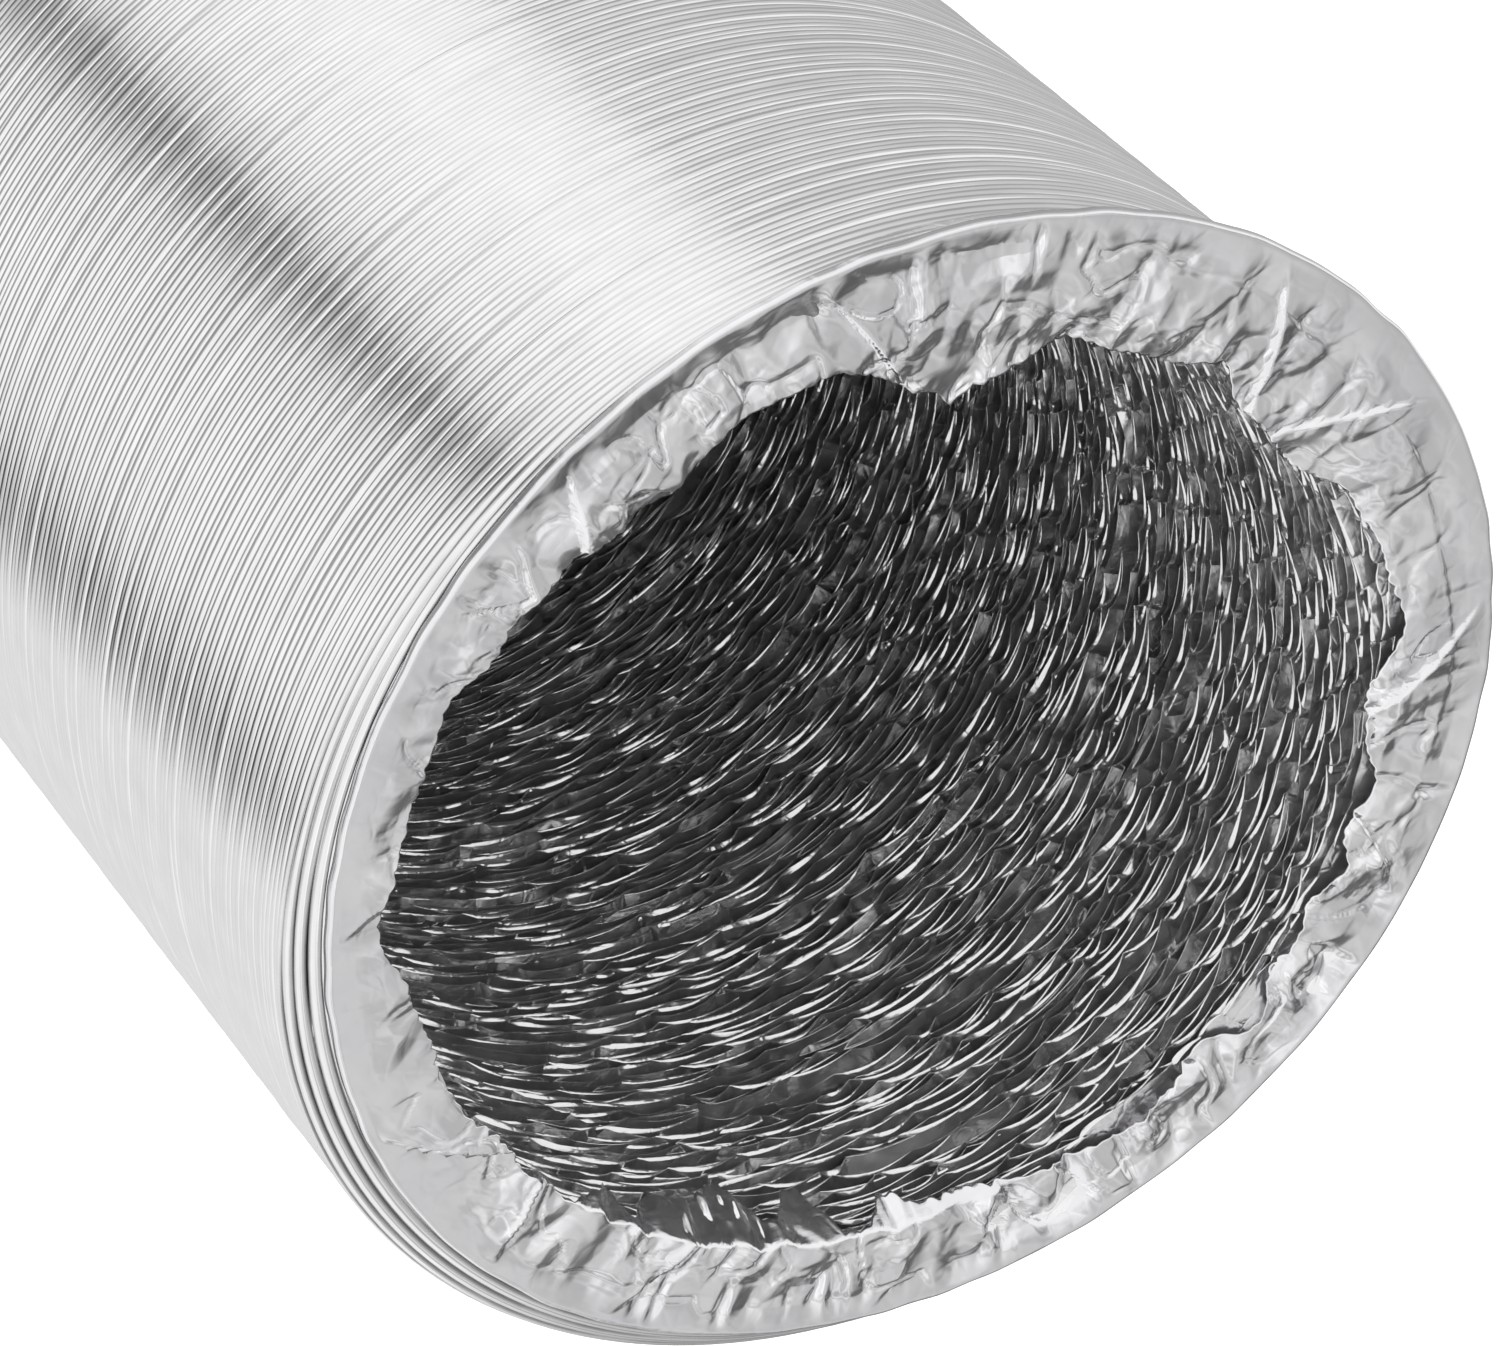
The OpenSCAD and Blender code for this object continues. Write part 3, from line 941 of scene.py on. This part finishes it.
def blend_colours(tree, low, high, ends, value):
    """Mix of two colours by a smooth step of value between two ends."""
    step = new_node(tree, "ShaderNodeMapRange", {"From Min": ends[0], "From Max": ends[1]},
                    interpolation_type="SMOOTHSTEP")
    mix = new_node(tree, "ShaderNodeMix", data_type="RGBA")
    link(tree, value, step.inputs["Value"])
    link(tree, step.outputs["Result"], mix.inputs["Factor"])
    link(tree, low, mix.inputs[COLOUR_A])
    link(tree, high, mix.inputs[COLOUR_B])
    return mix.outputs[MIXED]


def half_way_facing(tree):
    """The half-way direction and its parts: the ray's own direction plus the one to the camera,
    made one long."""
    where = new_node(tree, "ShaderNodeTexCoord")
    add = new_node(tree, "ShaderNodeVectorMath", {1: TO_CAMERA}, operation="ADD")
    half_way = new_node(tree, "ShaderNodeVectorMath", operation="NORMALIZE")
    facing = new_node(tree, "ShaderNodeSeparateXYZ")
    link(tree, where.outputs["Generated"], add.inputs[0])
    link(tree, add.outputs["Vector"], half_way.inputs[0])
    link(tree, half_way.outputs["Vector"], facing.inputs["Vector"])
    return facing


def compass_share(tree, facing):
    """Compass direction of a facing, as a share of half a turn from -1 to 1."""
    compass = new_node(tree, "ShaderNodeMath", operation="ARCTAN2")
    share = new_node(tree, "ShaderNodeMath", {1: np.pi}, operation="DIVIDE")
    link(tree, facing.outputs["Y"], compass.inputs[0])
    link(tree, facing.outputs["X"], compass.inputs[1])
    link(tree, compass.outputs["Value"], share.inputs[0])
    return share.outputs["Value"]


def studio_world():
    """The compass direction of the half-way facing picks the grey of the ribs, and its height
    blends from the lower to the upper flank, then to the steeply tipped foil and then to the
    ceiling. Rays straight from the camera see white."""
    world = bpy.data.worlds.new("studio")
    bpy.context.scene.world = world
    world.use_nodes = True
    tree = world.node_tree
    tree.nodes.clear()
    facing = half_way_facing(tree)
    compass, up = compass_share(tree, facing), facing.outputs["Z"]
    upper = grey_ramp(tree, compass, [(at / 180, grey) for at, grey, _ in STUDIO])
    lower = grey_ramp(tree, compass, [(at / 180, grey) for at, _, grey in STUDIO])
    wall = blend_colours(tree, lower, upper, UPPER_FLANK, up)
    tipped = grey_ramp(tree, facing.outputs["Y"], STEEPLY_TIPPED)
    steep = blend_colours(tree, wall, tipped, STEEP, up)
    dome = blend_colours(tree, steep, ceiling_pattern(tree, facing), LEVEL, up)
    soft = new_node(tree, "ShaderNodeBackground")
    white = new_node(tree, "ShaderNodeBackground", {"Color": (1, 1, 1, 1)})
    path = new_node(tree, "ShaderNodeLightPath")
    mix = new_node(tree, "ShaderNodeMixShader")
    out = new_node(tree, "ShaderNodeOutputWorld")
    link(tree, dome, soft.inputs["Color"])
    link(tree, path.outputs["Is Camera Ray"], mix.inputs["Fac"])
    link(tree, soft.outputs["Background"], mix.inputs[1])
    link(tree, white.outputs["Background"], mix.inputs[2])
    link(tree, mix.outputs["Shader"], out.inputs["Surface"])


studio_world()
print("world:", len(bpy.context.scene.world.node_tree.nodes), "nodes")

# %% Floor
# Half the width of the floor in metres
FLOOR_HALF = 6


def pale_floor():
    """Plain pale floor that keeps the shadow and is lifted to white for the camera's own rays."""
    mesh = bpy.data.meshes.new("floor")
    corners = [(x * FLOOR_HALF, y * FLOOR_HALF, 0) for x, y in ((-1, -1), (1, -1), (1, 1), (-1, 1))]
    mesh.from_pydata(corners, [], [(0, 1, 2, 3)])
    floor = bpy.data.objects.new("floor", mesh)
    bpy.context.scene.collection.objects.link(floor)
    material = bpy.data.materials.new("pale floor")
    material.use_nodes = True
    tree = material.node_tree
    shader = tree.nodes["Principled BSDF"]
    shader.inputs["Base Color"].default_value = (0.9, 0.9, 0.9, 1)
    shader.inputs["Roughness"].default_value = 0.9
    shader.inputs["Specular IOR Level"].default_value = 0.1
    glow = new_node(tree, "ShaderNodeEmission", {"Strength": 0.45})
    add = new_node(tree, "ShaderNodeAddShader")
    mix = new_node(tree, "ShaderNodeMixShader")
    path = new_node(tree, "ShaderNodeLightPath")
    out = tree.nodes["Material Output"]
    link(tree, shader.outputs["BSDF"], add.inputs[0])
    link(tree, glow.outputs["Emission"], add.inputs[1])
    link(tree, path.outputs["Is Camera Ray"], mix.inputs["Fac"])
    link(tree, shader.outputs["BSDF"], mix.inputs[1])
    link(tree, add.outputs["Shader"], mix.inputs[2])
    link(tree, mix.outputs["Shader"], out.inputs["Surface"])
    mesh.materials.append(material)
    floor.visible_glossy = False


pale_floor()
print("the floor is", 2 * FLOOR_HALF, "m wide")

# %% Soft boxes
def soft_box(name, spot, target, size, power):
    """Square area lamp at spot, aimed at target."""
    lamp = bpy.data.lights.new(name, "AREA")
    lamp.size = size
    lamp.energy = power
    box = bpy.data.objects.new(name, lamp)
    box.visible_glossy = False
    bpy.context.scene.collection.objects.link(box)
    aim = Vector(target) - Vector(spot)
    box.matrix_world = Matrix.Translation(spot) @ aim.to_track_quat("-Z", "Y").to_matrix().to_4x4()
    return box


soft_box("key", spot=(-0.9, -0.9, 1.9), target=(0, 0, 0.25), size=0.7, power=9)
soft_box("top", spot=(0.5, 0.6, 1.8), target=(0, 0, 0.25), size=0.6, power=7)
bpy.context.scene.view_settings.view_transform = "Standard"
print("lamps:", [light.name for light in bpy.data.lights])

# %% Check the size and finish
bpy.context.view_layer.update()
pieces = wires + sleeves + pleated + free + cuffs
print("object:", sum(len(p.data.polygons) for p in pieces) * 2, "triangles")
